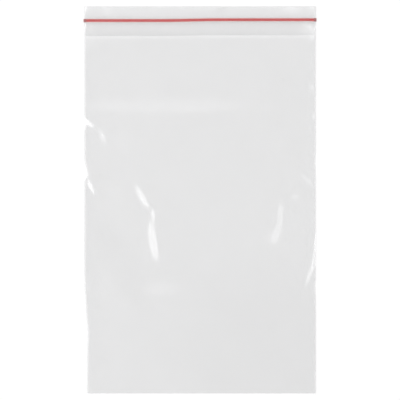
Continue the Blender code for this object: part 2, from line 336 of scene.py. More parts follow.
@dataclass(frozen=True)
class SheetGrid:
    """The lines that every piece is cut along, so that layers over each other bend alike."""

    bag: BagSizes
    zipper: ZipProfile
    cell: float = 1.35 * MM

    def lines(self, half: float, first: float) -> np.ndarray:
        """Evenly spaced lines between the two seams, and one line on each outer edge.

        Args:
            half: half the bag's size in this direction.
            first: distance from the outer edge to the first inner line.

        Returns:
            The lines' places, in order.
        """
        count = round(2 * (half - first) / self.cell)
        return np.concatenate(([-half], np.linspace(first - half, half - first, count + 1), [half]))

    @property
    def across(self) -> np.ndarray:
        """X of the lines that run along the bag."""
        return self.lines(self.bag.width / 2, self.bag.side_weld)

    @property
    def along(self) -> np.ndarray:
        """Y of the lines that run across the bag. Two of them border the slots for the zip ends.

        Returns:
            The lines' places, in order.
        """
        found = self.lines(self.bag.length / 2, self.bag.film)
        slot = self.zipper.rib_foot_width / 2 + self.zipper.clearance
        for edge in (self.bag.zip_line - slot, self.bag.zip_line + slot):
            found[np.argmin(np.abs(found - edge))] = edge
        return found


@dataclass(frozen=True)
class Crease:
    """A soft ridge in the film, from one point to another."""

    start: Point
    end: Point
    rise: float
    half_width: float
    end_share: float = 0.2

    def height(self, x: np.ndarray, y: np.ndarray) -> np.ndarray:
        """Height of the ridge: round across, and fading towards both ends.

        Args:
            x: X of each point on the flat bag.
            y: Y of each point on the flat bag.

        Returns:
            The height at each point.
        """
        ax, ay = self.start
        ux, uy = self.end[0] - ax, self.end[1] - ay
        along = np.clip(((x - ax) * ux + (y - ay) * uy) / (ux * ux + uy * uy), 0.0, 1.0)
        away = np.hypot(x - ax - along * ux, y - ay - along * uy)
        fade = mix(self.end_share, 1.0, np.sin(math.pi * along))
        return self.rise * fade * np.exp(-((away / self.half_width) ** 2))


@dataclass(frozen=True)
class EdgeNick:
    """A short stretch of side weld that is drawn in, with its own reach above and below its deepest point."""

    side: float
    y: float
    above: float
    below: float
    depth: float
    reach: float = 30.0 * MM

    def draw(self, x: np.ndarray, y: np.ndarray, half_width: float) -> np.ndarray:
        """How far the nick moves each point along X, fading away from its side.

        Args:
            x: X of each point on the flat bag.
            y: Y of each point on the flat bag.
            half_width: half the bag's width.

        Returns:
            The shift of each point.
        """
        from_edge = half_width - self.side * x
        run = (y - self.y) / np.where(y > self.y, self.above, self.below)
        return -self.side * self.depth * smooth(1.0 - from_edge / self.reach) * np.exp(-(run ** 2))


@dataclass(frozen=True)
class SoftEllipseMark:
    """A faint mark in the film: an ellipse with a soft edge, turned by this angle in degrees."""

    centre: Point
    half_size: Point
    share: float
    turn: float = 0.0


FILM_CREASES = (
    Crease((-0.0396, 0.0100), (-0.0296, -0.0062), 0.00060, 0.0026),
    Crease((-0.0286, -0.0038), (-0.0279, -0.0145), 0.00034, 0.0016),
    Crease((-0.0294, -0.0125), (-0.0244, -0.0412), 0.00082, 0.0038),
    Crease((0.0500, 0.0000), (0.0484, -0.0190), 0.00062, 0.0029),
    Crease((0.0488, -0.0160), (0.0415, -0.0285), 0.00092, 0.0044),
    Crease((-0.0636, 0.0505), (-0.0588, 0.0370), 0.00022, 0.0028),
    Crease((-0.0660, 0.0620), (0.0450, 0.0590), 0.00022, 0.0065),
    Crease((-0.0390, -0.0560), (-0.0100, -0.0600), 0.00016, 0.0060),
)

SHEET_FOLDS = (
    Crease((0.0655, 0.1184), (0.0775, 0.1075), 0.00062, 0.0018),
    Crease((-0.0768, 0.0562), (-0.0655, 0.0446), 0.00062, 0.0020),
    Crease((-0.0718, 0.0155), (-0.0650, 0.0020), 0.00060, 0.0023),
    Crease((0.0710, -0.0150), (0.0625, -0.0630), 0.00058, 0.0050),
    Crease((0.0740, -0.0180), (0.0718, -0.0440), 0.00030, 0.0017),
    Crease((0.0730, -0.0340), (0.0654, -0.0600), 0.00044, 0.0023),
    Crease((0.0640, 0.0180), (0.0755, 0.0065), 0.00034, 0.0020),
    Crease((0.0680, 0.0755), (0.0760, 0.0700), 0.00034, 0.0018),
    Crease((0.0700, 0.0560), (0.0760, 0.0510), 0.00036, 0.0018),
)

EDGE_NICKS = (
    EdgeNick(-1.0, 0.0485, 0.0040, 0.0030, 0.0007),
    EdgeNick(-1.0, 0.0158, 0.0070, 0.0022, 0.0024),
    EdgeNick(-1.0, -0.0850, 0.0060, 0.0080, 0.0005),
    EdgeNick(1.0, 0.0240, 0.0050, 0.0050, 0.0004),
    EdgeNick(1.0, -0.0560, 0.0050, 0.0050, 0.0004),
)

# Lighter marks painted into the film's colour: mostly painted highlights, where creases, folds and the edge
# nicks catch the lamps, and two paler patches on the lip.
PAINTED_HIGHLIGHTS_AND_PALE_PATCHES = (
    SoftEllipseMark((-0.0240, 0.0608), (0.0760, 0.0062), 0.26),
    SoftEllipseMark((-0.0245, -0.0575), (0.0170, 0.0052), 0.24),
    SoftEllipseMark((-0.0605, 0.1222), (0.0036, 0.0034), 0.60),
    SoftEllipseMark((0.0590, 0.1225), (0.0085, 0.0026), 0.75),
    SoftEllipseMark((0.0712, 0.1113), (0.0070, 0.0017), 1.00, -23.0),
    SoftEllipseMark((0.0700, 0.1085), (0.0080, 0.0034), 0.40, -12.0),
    SoftEllipseMark((0.0720, 0.0730), (0.0028, 0.0019), 0.60, -40.0),
    SoftEllipseMark((0.0735, 0.0540), (0.0014, 0.0024), 0.80),
    SoftEllipseMark((0.0690, 0.0130), (0.0080, 0.0015), 0.55, -45.0),
    SoftEllipseMark((0.0615, 0.0020), (0.0038, 0.0021), 0.45),
    SoftEllipseMark((0.0462, -0.0250), (0.0060, 0.0050), 0.22),
    SoftEllipseMark((-0.0634, 0.0414), (0.0026, 0.0080), 0.35, 22.0),
    SoftEllipseMark((-0.0716, 0.0498), (0.0060, 0.0019), 1.00, -42.0),
)

# Darker marks in the film's colour: two specks of dirt in the upper part, painted shade over the lower right,
# along the right edge and just inside the left weld, and a faint darker band over the lower left.
SPECKS_AND_PAINTED_SHADE = (
    SoftEllipseMark((0.0136, 0.1224), (0.0036, 0.0024), 0.32),
    SoftEllipseMark((0.0537, 0.0783), (0.0012, 0.0012), 0.70),
    SoftEllipseMark((0.0450, -0.0950), (0.0800, 0.0700), 0.12),
    SoftEllipseMark((-0.0520, -0.0400), (0.0450, 0.0130), 0.08, -62.0),
    SoftEllipseMark((0.0748, 0.0000), (0.0015, 0.3000), 0.26),
    SoftEllipseMark((-0.0722, 0.0100), (0.0012, 0.1100), 0.08),
)

MATTE_MARKS = (
    SoftEllipseMark((-0.0716, 0.1048), (0.0070, 0.0075), 1.00),
)


@dataclass(frozen=True)
class Ripple:
    """One low wave of the film: its length, and its direction and phase in radians."""

    length: float
    direction: float
    phase: float


FILM_RIPPLES = (
    Ripple(47.0 * MM, 0.4, 0.0),
    Ripple(33.0 * MM, 1.3, 1.7),
    Ripple(59.0 * MM, 2.2, 4.1),
    Ripple(26.0 * MM, 2.8, 2.6),
)


@dataclass(frozen=True)
class LyingShape:
    """Where each point of the flat bag goes when the bag lies on the table."""

    bag: BagSizes
    zipper: ZipProfile
    crush_run: float = 4.0 * MM
    crush_share: float = 0.34
    lip_opening: float = 0.6 * MM
    lip_lift: float = 0.7 * MM
    corner_lift: float = 1.2 * MM
    corner_run: float = 30.0 * MM
    side_lift: float = 0.4 * MM
    side_lift_run: float = 10.0 * MM
    puff_height: float = 1.3 * MM
    puff_side_run: float = 60.0 * MM
    puff_bottom_run: float = 90.0 * MM
    stand_off: float = 16.0 * MM
    side_draw: float = 1.9 * MM
    side_draw_start: float = 170.0 * MM
    side_draw_run: float = 45.0 * MM
    zip_drift: float = 0.55 * MM
    drift_start: float = 13.0 * MM
    drift_run: float = 39.0 * MM
    strip_step: float = 2.2 * MM
    ripple_height: float = 0.03 * MM
    weld_wave: float = 0.12 * MM
    weld_wave_length: float = 5.8 * MM
    weld_wave_reach: float = 4.0 * MM
    weld_wave_middle: float = -78.0 * MM
    weld_wave_spread: float = 22.0 * MM
    ripples: tuple[Ripple, ...] = FILM_RIPPLES
    creases: tuple[Crease, ...] = FILM_CREASES
    folds: tuple[Crease, ...] = SHEET_FOLDS
    nicks: tuple[EdgeNick, ...] = EDGE_NICKS

    def trapped_air(self, x: np.ndarray, y: np.ndarray) -> np.ndarray:
        """Gap that the air left in the bag opens between the plies.

        Args:
            x: X of each point on the flat bag.
            y: Y of each point on the flat bag.

        Returns:
            The gap at each point.
        """
        from_side = self.bag.width / 2 - np.abs(x)
        from_bottom = y + self.bag.length / 2
        room = smooth(from_side / self.puff_side_run) * smooth(from_bottom / self.puff_bottom_run)
        return (self.puff_height + self.rippled(x, y)) * room

    def rippled(self, x: np.ndarray, y: np.ndarray) -> np.ndarray:
        """Low waves that a thin film never loses.

        Args:
            x: X of each point on the flat bag.
            y: Y of each point on the flat bag.

        Returns:
            The waves' height at each point.
        """
        total = np.zeros_like(x)
        for wave in self.ripples:
            run = x * math.cos(wave.direction) + y * math.sin(wave.direction)
            total += np.sin(run * 2 * math.pi / wave.length + wave.phase)
        return self.ripple_height * total

    def gap(self, x: np.ndarray, y: np.ndarray) -> np.ndarray:
        """Gap between the two strips' webs, or where they would be.

        Args:
            x: X of each point on the flat bag.
            y: Y of each point on the flat bag.

        Returns:
            The gap at each point.
        """
        bag, height = self.bag, self.zipper.height
        plateau = self.zipper.shoulder_foot / 2
        beyond = np.maximum(np.abs(y - bag.zip_line) - plateau, 0.0)
        to_lip = mix(1.0, self.lip_opening / height, smooth(beyond / (bag.lip_height - plateau)))
        held = np.where(y > bag.zip_line, to_lip, 1.0 - smooth(beyond / self.stand_off))
        opened = smooth((bag.zip_line - plateau - y) / self.stand_off)
        edge = bag.ply_gap - 2 * (bag.strip_web + bag.seat_clearance)
        body = edge + self.trapped_air(x, y) + sum(crease.height(x, y) for crease in self.creases)
        inner = held * height + opened * body
        at_strip = mix(self.crush_share * height, bag.seat_clearance, smooth(beyond / self.strip_step))
        at_edge = mix(at_strip, edge, smooth((bag.strip_low - y) / self.strip_step))
        return mix(at_edge, inner, smooth((bag.inner_half - np.abs(x)) / self.crush_run))

    def lift(self, x: np.ndarray, y: np.ndarray) -> np.ndarray:
        """Height of the bag's underside over the table.

        Args:
            x: X of each point on the flat bag.
            y: Y of each point on the flat bag.

        Returns:
            The height at each point.
        """
        bag, plateau = self.bag, self.zipper.shoulder_foot / 2
        side = self.side_lift * smooth(1.0 - (bag.width / 2 - np.abs(x)) / self.side_lift_run)
        lip = smooth((y - bag.zip_line - plateau) / (bag.lip_height - plateau))
        corner = smooth(1.0 - (bag.width / 2 - x) / self.corner_run)
        folded = sum(fold.height(x, y) for fold in self.folds)
        return side + lip * (self.lip_lift + self.corner_lift * corner) + folded

    def side_shift(self, x: np.ndarray, y: np.ndarray) -> np.ndarray:
        """How far the drawn-in left side, the nicks and the weld's small waves move each point along X.

        Args:
            x: X of each point on the flat bag.
            y: Y of each point on the flat bag.

        Returns:
            The shift of each point.
        """
        bag = self.bag
        towards_left = 0.5 - x / bag.width
        from_lip = bag.lip_edge - y
        drawn = smooth((from_lip - self.side_draw_start) / self.side_draw_run)
        shift = self.side_draw * towards_left * drawn
        shift += sum(nick.draw(x, y, bag.width / 2) for nick in self.nicks)
        wrinkled = np.exp(-(((y - self.weld_wave_middle) / self.weld_wave_spread) ** 2))
        at_left = smooth(1.0 - (x + bag.width / 2) / self.weld_wave_reach)
        wave = 1.0 + np.sin(y * 2 * math.pi / self.weld_wave_length)
        return shift + self.weld_wave * wrinkled * at_left * wave

    def lay(self, points: np.ndarray) -> np.ndarray:
        """Moves points of the flat bag to where they are on the table.

        Args:
            points: an array of rows of x, y and z.

        Returns:
            An array of the same shape.
        """
        x, y, z = points[:, 0], points[:, 1], points[:, 2]
        height, ply = self.zipper.height, self.bag.ply_stack
        stack = height + 2 * ply
        opening = self.gap(x, y)
        between = ply + (z - ply) * opening / height
        up = np.where(z <= ply, z, np.where(z >= stack - ply, z - height + opening, between))
        from_lip = self.bag.lip_edge - y
        depth, lip = self.bag.strip_depth, self.bag.lip_height
        near_zip = smooth(from_lip / lip) * smooth(1.0 - (from_lip - lip) / (2 * depth))
        drift = self.zip_drift * near_zip * smooth((self.drift_start - x) / self.drift_run)
        return np.stack((x + self.side_shift(x, y), y - drift, up + self.lift(x, y)), axis=1)


class Bench:
    """Small modelling moves that the pieces share, each made with Blender's own operators."""

    @staticmethod
    def deselect() -> None:
        """Leaves nothing selected, so that an operator acts on the new piece alone."""
        bpy.ops.object.select_all(action="DESELECT")

    @staticmethod
    def coordinates(obj: bpy.types.Object) -> np.ndarray:
        """The object's vertices.

        Args:
            obj: a mesh object.

        Returns:
            An array of rows of x, y and z.
        """
        flat = np.empty(len(obj.data.vertices) * 3, dtype=np.float32)
        obj.data.vertices.foreach_get("co", flat)
        return flat.reshape(-1, 3).astype(float)

    @staticmethod
    def place(obj: bpy.types.Object, points: np.ndarray) -> None:
        """Moves the object's vertices to these points."""
        obj.data.vertices.foreach_set("co", points.astype(np.float32).ravel())
        obj.data.update()

    @staticmethod
    def face_centres(obj: bpy.types.Object) -> np.ndarray:
        """The middle of each face.

        Args:
            obj: a mesh object.

        Returns:
            An array of rows of x, y and z.
        """
        flat = np.empty(len(obj.data.polygons) * 3, dtype=np.float32)
        obj.data.polygons.foreach_get("center", flat)
        return flat.reshape(-1, 3)

    @staticmethod
    def extrude(obj: bpy.types.Object, offset: tuple[float, float, float]) -> None:
        """Extrudes the whole of a flat mesh.

        Args:
            obj: a mesh object without thickness.
            offset: how far and which way.
        """
        bpy.ops.object.mode_set(mode="EDIT")
        bpy.ops.mesh.select_all(action="SELECT")
        bpy.ops.mesh.extrude_region_move(TRANSFORM_OT_translate={"value": offset})
        bpy.ops.mesh.select_all(action="SELECT")
        bpy.ops.mesh.normals_make_consistent(inside=False)
        bpy.ops.object.mode_set(mode="OBJECT")

    @staticmethod
    def delete_faces(obj: bpy.types.Object, chosen: np.ndarray) -> None:
        """Deletes some faces.

        Args:
            obj: a mesh object.
            chosen: true or false for each face.
        """
        mesh = obj.data
        mesh.vertices.foreach_set("select", np.zeros(len(mesh.vertices), dtype=bool))
        mesh.edges.foreach_set("select", np.zeros(len(mesh.edges), dtype=bool))
        mesh.polygons.foreach_set("select", chosen)
        mesh.update()
        bpy.ops.object.mode_set(mode="EDIT")
        bpy.ops.mesh.delete(type="FACE")
        bpy.ops.object.mode_set(mode="OBJECT")

    @staticmethod
    def apply(obj: bpy.types.Object, kind: str, **settings: Any) -> None:
        """Adds a modifier and applies it.

        Args:
            obj: the active mesh object.
            kind: the modifier's type name, such as "BEVEL".
            settings: the modifier's own properties.
        """
        modifier = obj.modifiers.new(kind.lower(), kind)
        for name, value in settings.items():
            setattr(modifier, name, value)
        bpy.ops.object.modifier_apply(modifier=modifier.name)

    @staticmethod
    def record_flat_map(obj: bpy.types.Object, bag: BagSizes) -> None:
        """Keeps each point's place on the flat bag as a UV map, for patterns that follow the sheet.

        Args:
            obj: a piece that is still flat.
            bag: the sizes that the map is a share of.
        """
        mesh = obj.data
        loops = np.empty(len(mesh.loops), dtype=np.int32)
        mesh.loops.foreach_get("vertex_index", loops)
        points = Bench.coordinates(obj)[loops]
        flat = np.stack((points[:, 0] / bag.width + 0.5, points[:, 1] / bag.length + 0.5), axis=1)
        layer = mesh.uv_layers.new(name=FLAT_MAP)
        layer.data.foreach_set("uv", flat.astype(np.float32).ravel())

    @staticmethod
    def finish(obj: bpy.types.Object, material: bpy.types.Material, node: str, slot: str,
               angle: float) -> None:
        """Shades, dresses and hands over a finished piece.

        Args:
            obj: the piece.
            material: its finish.
            node: the CAD node that it stands for.
            slot: not used.
            angle: edges sharper than this many degrees stay sharp.
        """
        Bench.deselect()
        obj.select_set(True)
        bpy.context.view_layer.objects.active = obj
        bpy.ops.object.shade_smooth_by_angle(angle=math.radians(angle))
        obj.data.materials.clear()
        obj.data.materials.append(material)
        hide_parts(node)
        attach(obj, "root")
        log.info("%s: %d faces, in %s", obj.name, len(obj.data.polygons), material.name)


@dataclass(frozen=True)
class FilmFinish:
    """Clear low-density polyethylene film, blown and slightly hazy.

    It lets most light through, greys a white table a little, and shines where a crease turns to a lamp.
    """

    name: str = "blown_polyethylene_film"
    tint: str = "C2C2C4"
    lip_tint: str = "D0D0D2"
    # Paler tint of the seams and of the painted highlights: heat-seal whitening, and painted highlight.
    seal_and_highlight_tint: str = "F2F2F4"
    # Tint of the dirt specks and of the painted shade.
    speck_and_shade_tint: str = "3C3C3E"
    alpha: float = 0.10
    roughness: float = 0.15
    specular_level: float = 0.9
    coat_roughness: float = 0.11
    matte_roughness: float = 0.55
    cloud_size: float = 22.0 * MM
    cloud_tones: Point = (0.92, 0.98)
    cloud_gloss: Point = (0.85, 1.15)
    wave_size: float = 6.0 * MM
    wave_depth: float = 0.03 * MM
    lip_fade: float = 4.0 * MM
    weld_inner: float = 1.3 * MM
    weld_outer: float = 0.6 * MM
    seal_offset: float = 1.0 * MM
    seal_outer: float = 1.1 * MM
    seal_inner: float = 0.4 * MM
    seal_share: float = 0.55
    # Painted highlights and pale patches, laid on in the seams' paler tint.
    soft_marks: tuple[SoftEllipseMark, ...] = PAINTED_HIGHLIGHTS_AND_PALE_PATCHES
    specks_and_painted_shade: tuple[SoftEllipseMark, ...] = SPECKS_AND_PAINTED_SHADE
    matte_marks: tuple[SoftEllipseMark, ...] = MATTE_MARKS

    def material(self, bag: BagSizes) -> bpy.types.Material:
        """Builds the film's material.

        Args:
            bag: the sizes that place its seams.

        Returns:
            The material, see-through by one plain alpha.
        """
        made = bpy.data.materials.new(self.name)
        tree = new_tree(made)
        place = add_node(tree, "ShaderNodeTexCoord", {}).outputs["Object"]
        clouds = add_node(tree, "ShaderNodeTexNoise", {
            "Vector": place, "Scale": 1 / self.cloud_size, "Detail": 3.0, "Roughness": 0.55}).outputs["Fac"]
        gloss = add_node(tree, "ShaderNodeMapRange", {
            "Value": clouds, **NOISE_SPAN, "To Min": self.roughness * self.cloud_gloss[0],
            "To Max": self.roughness * self.cloud_gloss[1]}).outputs[0]
        coat: Any = self.coat_roughness
        for mark in self.matte_marks:
            mask = self.patch(tree, place, mark)
            gloss = add_node(tree, "ShaderNodeMix", {0: mask, 2: gloss, 3: self.matte_roughness}).outputs[0]
            coat = add_node(tree, "ShaderNodeMix", {0: mask, 2: coat, 3: self.matte_roughness}).outputs[0]
        wave = add_node(tree, "ShaderNodeTexNoise", {
            "Vector": place, "Scale": 1 / self.wave_size, "Detail": 2.0})
        bump = add_node(tree, "ShaderNodeBump", {
            "Height": wave.outputs["Fac"], "Strength": 1.0, "Distance": self.wave_depth})
        shader = add_node(tree, "ShaderNodeBsdfPrincipled", {
            "Base Color": self.colour(tree, place, clouds, bag), "Roughness": gloss, "IOR": POLYETHYLENE_IOR,
            "Specular IOR Level": self.specular_level, "Alpha": self.alpha,
            "Normal": bump.outputs["Normal"], "Coat Weight": 1.0, "Coat Roughness": coat})
        add_node(tree, "ShaderNodeOutputMaterial", {"Surface": shader.outputs[0]})
        return made

    def colour(self, tree: bpy.types.NodeTree, place: bpy.types.NodeSocket, clouds: bpy.types.NodeSocket,
               bag: BagSizes) -> bpy.types.NodeSocket:
        """Lays the film's colour up from its clouded body, the paler lip, the seams with their painted
        highlight, the painted highlights and pale patches, the painted shade, a faint darker band and the
        dirt specks.

        Args:
            tree: the film's node tree.
            place: the point on the finished piece.
            clouds: the slow noise that its tone follows.
            bag: the sizes that place its seams.

        Returns:
            The colour.
        """
        flat = add_node(tree, "ShaderNodeUVMap", {}, uv_map=FLAT_MAP).outputs["UV"]
        flat_mm = add_node(tree, "ShaderNodeVectorMath", {
            0: flat, 1: (bag.width / MM, bag.length / MM, 0.0)}, operation="MULTIPLY").outputs[0]
        axes = add_node(tree, "ShaderNodeSeparateXYZ", {0: flat_mm})
        tone = add_node(tree, "ShaderNodeMapRange", {
            "Value": clouds, **NOISE_SPAN, "To Min": self.cloud_tones[0], "To Max": self.cloud_tones[1]})
        base = add_node(tree, "ShaderNodeVectorMath", {
            0: linear(self.tint)[:3], "Scale": tone.outputs[0]}, operation="SCALE").outputs[0]
        lip = add_node(tree, "ShaderNodeMapRange", {
            "Value": axes.outputs["Y"], "From Min": (bag.length / 2 + bag.zip_line) / MM,
            "From Max": (bag.length - self.lip_fade) / MM}, interpolation_type="SMOOTHSTEP")
        layers = [(lip.outputs[0], self.lip_tint)]
        # Seams: heat-seal whitening with painted highlight.
        layers += [(mask, self.seal_and_highlight_tint) for mask in self.seams(tree, axes, bag)]
        # Painted highlights, and the lip's pale patches.
        layers += [(self.patch(tree, place, mark), self.seal_and_highlight_tint) for mark in self.soft_marks]
        # Dirt specks, and painted shade at the lower right and along both edges.
        layers += [(self.patch(tree, place, mark), self.speck_and_shade_tint) for mark in self.specks_and_painted_shade]
        for mask, tint in layers:
            base = add_node(tree, "ShaderNodeMix", {0: mask, 6: base, 7: linear(tint)},
                            data_type="RGBA").outputs[2]
        return base

    def seams(self, tree: bpy.types.NodeTree, axes: bpy.types.Node,
              bag: BagSizes) -> list[bpy.types.NodeSocket]:
        """Masks the paler seams, both side welds and the seal line under the carrier strips: heat-seal
        whitening, with painted highlight along the bag's edges and along the step below the strips.

        Args:
            tree: the film's node tree.
            axes: the point on the flat bag, in millimetres from its lower left corner.
            bag: the sizes that place the seams.

        Returns:
            One mask for each kind of seam.
        """
        half = bag.width / MM / 2
        seal = (bag.length / 2 + bag.strip_low - self.seal_offset) / MM
        return [
            line_mask(tree, axes.outputs["X"], half, half - self.weld_inner / MM,
                      half - self.weld_outer / MM),
            line_mask(tree, axes.outputs["Y"], seal, self.seal_outer / MM, self.seal_inner / MM,
                      self.seal_share),
        ]

    @staticmethod
    def patch(tree: bpy.types.NodeTree, place: bpy.types.NodeSocket,
              soft_marks: SoftEllipseMark) -> bpy.types.NodeSocket:
        """Masks one mark, strongest in its middle.

        Args:
            tree: the film's node tree.
            place: the point on the finished piece.
            soft_marks: the mark.

        Returns:
            The mask.
        """
        own = add_node(tree, "ShaderNodeMapping", {
            "Vector": place, "Location": (*soft_marks.centre, 0.0),
            "Rotation": (0.0, 0.0, math.radians(soft_marks.turn)), "Scale": (*soft_marks.half_size, 1.0)},
            vector_type="TEXTURE")
        away = add_node(tree, "ShaderNodeVectorMath", {0: own.outputs[0]}, operation="LENGTH")
        return add_node(tree, "ShaderNodeMapRange", {
            "Value": away.outputs["Value"], "From Min": 1.0, "From Max": MARK_CORE, "To Max": soft_marks.share},
            interpolation_type="SMOOTHSTEP").outputs[0]


@dataclass(frozen=True)
class DrawLines:
    """The faint lines that an extrusion die leaves along a piece: their spacing, stretch and depth."""

    spacing: float
    stretch: float
    depth: float = 0.01 * MM

    def build(self, tree: bpy.types.NodeTree,
              place: bpy.types.NodeSocket) -> tuple[bpy.types.NodeSocket, bpy.types.NodeSocket]:
        """Adds the lines to a material.

        Args:
            tree: the material's node tree.
            place: the point on the finished piece.

        Returns:
            The lines as a noise, and the bumped normal.
        """
        drawn = add_node(tree, "ShaderNodeMapping", {"Vector": place, "Scale": (self.stretch, 1.0, 1.0)})
        lines = add_node(tree, "ShaderNodeTexNoise", {
            "Vector": drawn.outputs[0], "Scale": 1 / self.spacing, "Detail": 2.0}).outputs["Fac"]
        bump = add_node(tree, "ShaderNodeBump", {"Height": lines, "Strength": 0.6, "Distance": self.depth})
        return lines, bump.outputs["Normal"]


@dataclass(frozen=True)
class StripFinish:
    """Clear low-density polyethylene, extruded: greyer along the zipper's shoulder and the strips' lower
    edge, partly from the thicker plastic and partly as painted shade.
    """

    name: str = "extruded_polyethylene_strip"
    tint: str = "EEEEF0"
    # Grey of the thicker plastic, which is also painted shade beside the rib and along the strips' lower
    # edge.
    thick_and_shaded_tint: str = "909092"
    alpha: float = 0.022
    roughness: float = 0.26
    draw_lines: DrawLines = DrawLines(0.5 * MM, 0.06)
    edge_reach: float = 4.0 * MM
    shoulder_share: float = 0.6

    def material(self, bag: BagSizes, zipper: ZipProfile) -> bpy.types.Material:
        """Builds the carrier strips' material.

        Args:
            bag: the sizes that place the strip's edge.
            zipper: the sizes of the thicker shoulder.

        Returns:
            The material, see-through by one plain alpha.
        """
        made = bpy.data.materials.new(self.name)
        tree = new_tree(made)
        place = add_node(tree, "ShaderNodeTexCoord", {}).outputs["Object"]
        across = add_node(tree, "ShaderNodeSeparateXYZ", {0: place}).outputs["Y"]
        base: Any = linear(self.tint)
        shoulder_reach = zipper.shoulder_foot * self.shoulder_share
        # Greys the strip along the shoulder and the lower edge: thicker plastic, with painted shade.
        for centre, reach in ((bag.zip_line, shoulder_reach), (bag.strip_low, self.edge_reach)):
            thick_and_shaded = line_mask(tree, across, centre, reach, 0.0)
            base = add_node(tree, "ShaderNodeMix", {0: thick_and_shaded, 6: base, 7: linear(self.thick_and_shaded_tint)},
                            data_type="RGBA").outputs[2]
        normal = self.draw_lines.build(tree, place)[1]
        shader = add_node(tree, "ShaderNodeBsdfPrincipled", {
            "Base Color": base, "Roughness": self.roughness, "IOR": POLYETHYLENE_IOR,
            "Alpha": self.alpha, "Normal": normal})
        add_node(tree, "ShaderNodeOutputMaterial", {"Surface": shader.outputs[0]})
        return made


@dataclass(frozen=True)
class RibFinish:
    """Red low-density polyethylene, extruded.

    It is deep red over the stem, and painted pale pink over the thin foot as painted light that stands for
    the table's white light shining through it, with faint lines along it.
    """

    name: str = "red_polyethylene"
    tint: str = "D8100A"
    # Painted light: the pale pink of the table's light shining through the thin foot.
    painted_backlight_tint: str = "FFCCC6"
    crushed_tint: str = "9C1C18"
    roughness: float = 0.38
    draw_lines: DrawLines = DrawLines(0.2 * MM, 0.03)
    draw_tones: Point = (0.9, 1.0)
    deep_half: float = 0.60 * MM

    def material(self, bag: BagSizes, zipper: ZipProfile) -> bpy.types.Material:
        """Builds the coloured rib's material.

        Args:
            bag: the sizes that place its crushed ends.
            zipper: the sizes of its head and its thin foot.

        Returns:
            The material.
        """
        made = bpy.data.materials.new(self.name)
        tree = new_tree(made)
        place = add_node(tree, "ShaderNodeTexCoord", {}).outputs["Object"]
        along = add_node(tree, "ShaderNodeSeparateXYZ", {0: place}).outputs["X"]
        crushed = line_mask(tree, along, 0.0, bag.inner_half - bag.side_weld, bag.inner_half)
        flat = add_node(tree, "ShaderNodeUVMap", {}, uv_map=FLAT_MAP).outputs["UV"]
        across = add_node(tree, "ShaderNodeSeparateXYZ", {0: flat}).outputs["Y"]
        # Mask of the thin foot, where the painted backlight goes.
        thin = line_mask(tree, across, bag.zip_line / bag.length + 0.5, self.deep_half / bag.length,
                         zipper.rib_foot_width / 2 / bag.length)
        red = add_node(tree, "ShaderNodeMix", {
            0: thin, 6: linear(self.tint), 7: linear(self.painted_backlight_tint)}, data_type="RGBA").outputs[2]
        lines, normal = self.draw_lines.build(tree, place)
        tone = add_node(tree, "ShaderNodeMapRange", {
            "Value": lines, **NOISE_SPAN, "To Min": self.draw_tones[0], "To Max": self.draw_tones[1]})
        red = add_node(tree, "ShaderNodeVectorMath", {0: red, "Scale": tone.outputs[0]},
                       operation="SCALE").outputs[0]
        base = add_node(tree, "ShaderNodeMix", {0: crushed, 6: red, 7: linear(self.crushed_tint)},
                        data_type="RGBA").outputs[2]
        shader = add_node(tree, "ShaderNodeBsdfPrincipled", {
            "Base Color": base, "Roughness": self.roughness, "IOR": POLYETHYLENE_IOR, "Normal": normal})
        add_node(tree, "ShaderNodeOutputMaterial", {"Surface": shader.outputs[0]})
        return made


@dataclass
class FilmPouch:
    """The film: one sheet, folded at the bottom and welded down both sides, open at the lips."""

    bag: BagSizes
    zipper: ZipProfile
    shape: LyingShape
    grid: SheetGrid
    finish: FilmFinish = field(default_factory=FilmFinish)
    smooth_angle: float = 50.0

    def sheet(self) -> bpy.types.Object:
        """A flat grid the size of the bag, with lines on the weld's inner edge and beside the zip ends.

        Returns:
            The sheet.
        """
        across, along = self.grid.across, self.grid.along
        Bench.deselect()
        bpy.ops.mesh.primitive_grid_add(
            x_subdivisions=len(across) - 1, y_subdivisions=len(along) - 1, size=1.0)
        sheet = bpy.context.object
        sheet.name = sheet.data.name = "film_pouch"
        points = Bench.coordinates(sheet)
        column = np.rint((points[:, 0] + 0.5) * (len(across) - 1)).astype(int)
        row = np.rint((points[:, 1] + 0.5) * (len(along) - 1)).astype(int)
        Bench.place(sheet, np.stack((across[column], along[row], np.zeros(len(points))), axis=1))
        return sheet

    def cut_zip_ends(self, pouch: bpy.types.Object) -> None:
        """Opens the side walls where the coloured rib passes through them.

        Args:
            pouch: the flat pouch, still without thickness.
        """
        zipper, bag = self.zipper, self.bag
        low = bag.ply_stack + zipper.tip_level - zipper.clearance
        high = bag.ply_stack + zipper.foot_top + bag.seat_clearance
        bpy.ops.object.mode_set(mode="EDIT")
        for level in (low, high):
            bpy.ops.mesh.select_all(action="SELECT")
            bpy.ops.mesh.bisect(plane_co=(0, 0, level), plane_no=(0, 0, 1))
        bpy.ops.object.mode_set(mode="OBJECT")
        centre = Bench.face_centres(pouch)
        at_side = np.abs(centre[:, 0]) > bag.width / 2 - bag.film
        at_zip = np.abs(centre[:, 1] - bag.zip_line) < zipper.rib_foot_width / 2 + zipper.clearance
        in_slot = (centre[:, 2] > low) & (centre[:, 2] < high)
        Bench.delete_faces(pouch, at_side & at_zip & in_slot)

    def build(self) -> bpy.types.Object:
        """Models the pouch flat, thickens its film and lays it down.

        Returns:
            The finished piece.
        """
        bag = self.bag
        stack = self.zipper.height + 2 * bag.ply_stack
        pouch = self.sheet()
        Bench.extrude(pouch, (0.0, 0.0, stack))
        Bench.delete_faces(pouch, Bench.face_centres(pouch)[:, 1] > bag.lip_edge - bag.film / 4)
        self.cut_zip_ends(pouch)
        Bench.apply(pouch, "SOLIDIFY", thickness=bag.film, offset=-1.0, use_even_offset=True)
        Bench.record_flat_map(pouch, bag)
        Bench.place(pouch, self.shape.lay(Bench.coordinates(pouch)))
        Bench.finish(pouch, self.finish.material(bag), "bag_film", "clear_film", self.smooth_angle)
        return pouch


